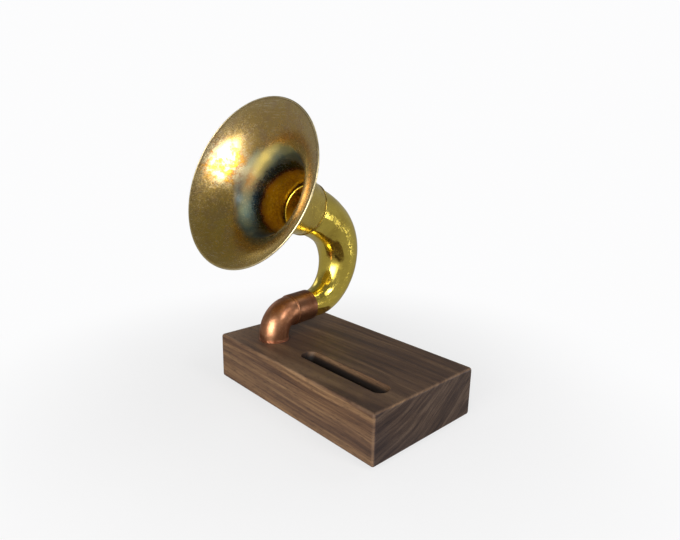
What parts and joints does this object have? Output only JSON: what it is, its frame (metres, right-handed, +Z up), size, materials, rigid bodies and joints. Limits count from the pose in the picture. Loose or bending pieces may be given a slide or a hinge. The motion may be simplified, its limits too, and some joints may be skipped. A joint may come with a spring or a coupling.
{
  "type": "acoustic horn loudspeaker",
  "caption": "Passive horn loudspeaker: a wooden block with a leaning telephone slot and a routed sound channel feeds a swivelling copper elbow and a flared brass horn.",
  "frame": {"origin": "centre of the object's footprint box, on the surface it stands on", "axes": "+Z up; -Y out of the block's long front face, the way the horn faces; +X towards the telephone slot's end"},
  "size_m": [0.2419, 0.1746, 0.2731],
  "materials": {
    "walnut": "oiled",
    "plywood": "sanded",
    "rubber": "matte",
    "felt": "matte",
    "cork": "raw cork",
    "steel": "zinc plated",
    "copper": "handled copper",
    "bright_brass": "polished",
    "aged_brass": "polished and tarnished",
    "bead_brass": "satin"
  },
  "bodies": {
    "base": {"base_block": "walnut", "channel_cover": "plywood", "cover_screw_1": "steel", "cover_screw_2": "steel", "cover_screw_3": "steel", "cover_screw_4": "steel", "cover_screw_5": "steel", "cover_screw_6": "steel", "foot_front_left": "rubber", "foot_front_right": "rubber", "foot_back_left": "rubber", "foot_back_right": "rubber", "thrust_washer": "felt", "spigot_seal": "rubber"},
    "horn": {"copper_elbow": "copper", "tail_packing": "cork", "horn_tube": "bright_brass", "bell": "aged_brass", "rim_bead": "bead_brass", "throat_coupling": "bead_brass"}
  },
  "joints": [
    {"name": "horn_swivel", "type": "hinge", "parent": "base", "child": "horn", "pos_m": [-0.0458, -0.0265, 0.0473], "axis": [0, 0, 1], "continuous": true}
  ]
}
